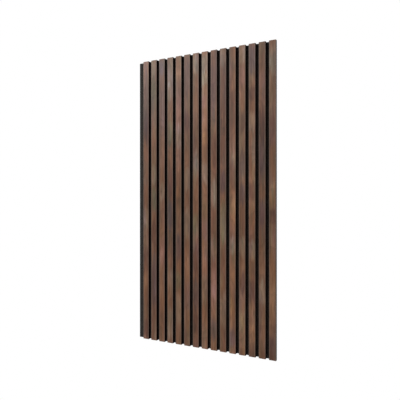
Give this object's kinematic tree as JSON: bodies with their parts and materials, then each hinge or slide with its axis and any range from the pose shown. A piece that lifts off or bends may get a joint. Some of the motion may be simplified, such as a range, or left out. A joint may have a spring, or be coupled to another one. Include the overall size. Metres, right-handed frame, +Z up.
{
  "type": "acoustic slat wall panel",
  "caption": "Sound-absorbing wall panel of upright black fibreboard slats with dark wood veneer fronts, on a felt board that the next panel laps onto.",
  "frame": {"origin": "middle of the felt's back face, on the wall", "axes": "+Y points into the wall (the slats face -Y), +Z up along the slats, +X to the right for someone looking at the slats, where the last slat overhangs the felt"},
  "size_m": [0.6135, 0.021, 1.2],
  "materials": {
    "felt": "matt felted fibre",
    "fibreboard": "matt black fibreboard, dyed through",
    "veneer": "matt oiled veneer",
    "staple_wire": "galvanised wire"
  },
  "bodies": {
    "root": {"felt_backing": "felt", "slat_core_01": "fibreboard", "slat_core_02": "fibreboard", "slat_core_03": "fibreboard", "slat_core_04": "fibreboard", "slat_core_05": "fibreboard", "slat_core_06": "fibreboard", "slat_core_07": "fibreboard", "slat_core_08": "fibreboard", "slat_core_09": "fibreboard", "slat_core_10": "fibreboard", "slat_core_11": "fibreboard", "slat_core_12": "fibreboard", "slat_core_13": "fibreboard", "slat_core_14": "fibreboard", "slat_core_15": "fibreboard", "slat_veneer_01": "veneer", "slat_veneer_02": "veneer", "slat_veneer_03": "veneer", "slat_veneer_04": "veneer", "slat_veneer_05": "veneer", "slat_veneer_06": "veneer", "slat_veneer_07": "veneer", "slat_veneer_08": "veneer", "slat_veneer_09": "veneer", "slat_veneer_10": "veneer", "slat_veneer_11": "veneer", "slat_veneer_12": "veneer", "slat_veneer_13": "veneer", "slat_veneer_14": "veneer", "slat_veneer_15": "veneer", "staples": "staple_wire"}
  },
  "joints": []
}
